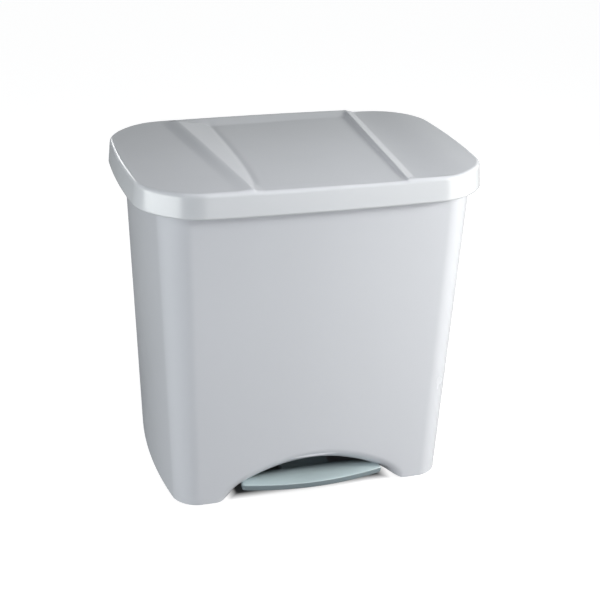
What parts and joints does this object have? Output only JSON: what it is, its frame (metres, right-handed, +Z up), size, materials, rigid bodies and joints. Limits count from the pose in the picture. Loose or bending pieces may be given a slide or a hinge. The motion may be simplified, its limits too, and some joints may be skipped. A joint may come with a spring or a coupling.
{
  "type": "pedal trash can",
  "caption": "Pedal trash can for a kitchen: moulded body with inner buckets, and a hinged lid that a crescent foot pedal lifts through a push rod.",
  "frame": {"origin": "on the floor, in the middle of the lid's outline seen from above", "axes": "+X to the right seen from the front, +Y to the back, +Z up; the pedal is at -Y"},
  "size_m": [0.41, 0.294, 0.3944],
  "materials": {
    "body_plastic": "semi-gloss, off-white with a cool grey cast",
    "lid_plastic": "semi-gloss, off-white with a cool grey cast",
    "pedal_plastic": "satin, blue-grey",
    "bucket_plastic": "matt grey",
    "bracket_plastic": "matt dark grey",
    "rubber": "matt black",
    "steel": "drawn wire"
  },
  "bodies": {
    "body": {"body_shell": "body_plastic", "hinge_pin_left": "steel", "hinge_pin_right": "steel", "pedal_axle": "steel", "axle_saddle_left": "bracket_plastic", "axle_saddle_right": "bracket_plastic", "saddle_screw_1": "steel", "saddle_screw_2": "steel", "saddle_screw_3": "steel", "saddle_screw_4": "steel", "rod_cover": "bracket_plastic", "cover_screw_lower": "steel", "cover_screw_upper": "steel", "bucket_left": "bucket_plastic", "bucket_right": "bucket_plastic", "foot_pad_front_left": "rubber", "foot_pad_front_right": "rubber", "foot_pad_back_left": "rubber", "foot_pad_back_right": "rubber"},
    "lid": {"lid": "lid_plastic", "lid_bumper_left": "rubber", "lid_bumper_right": "rubber"},
    "pedal": {"pedal": "pedal_plastic"},
    "push_rod": {"push_rod": "steel", "rod_clip_lower": "steel", "rod_clip_upper": "steel"},
    "bail_left": {"bail_left": "steel", "bail_grip_left": "rubber"},
    "bail_right": {"bail_right": "steel", "bail_grip_right": "rubber"}
  },
  "joints": [
    {"name": "lid_hinge", "type": "hinge", "parent": "body", "child": "lid", "pos_m": [0, 0.1395, 0.361], "axis": [-1, 0, 0], "range_deg": [0, 66]},
    {"name": "pedal_pivot", "type": "hinge", "parent": "body", "child": "pedal", "pos_m": [0, -0.05, 0.022], "axis": [1, 0, 0], "range_deg": [0, 8.28]},
    {"name": "rod_pivot", "type": "hinge", "parent": "pedal", "child": "push_rod", "pos_m": [0, 0.1205, 0.00966], "axis": [1, 0, 0], "range_deg": [-8.28, 0]},
    {"name": "bail_left_hinge", "type": "hinge", "parent": "body", "child": "bail_left", "pos_m": [-0.087, 0, 0.357], "axis": [0, 1, 0], "range_deg": [0, 20]},
    {"name": "bail_right_hinge", "type": "hinge", "parent": "body", "child": "bail_right", "pos_m": [0.087, 0, 0.357], "axis": [0, -1, 0], "range_deg": [0, 20]}
  ],
  "couplings": [
    {"joint": "pedal_pivot", "follows": "lid_hinge", "ratio": 0.1254},
    {"joint": "rod_pivot", "follows": "lid_hinge", "ratio": -0.1254}
  ]
}
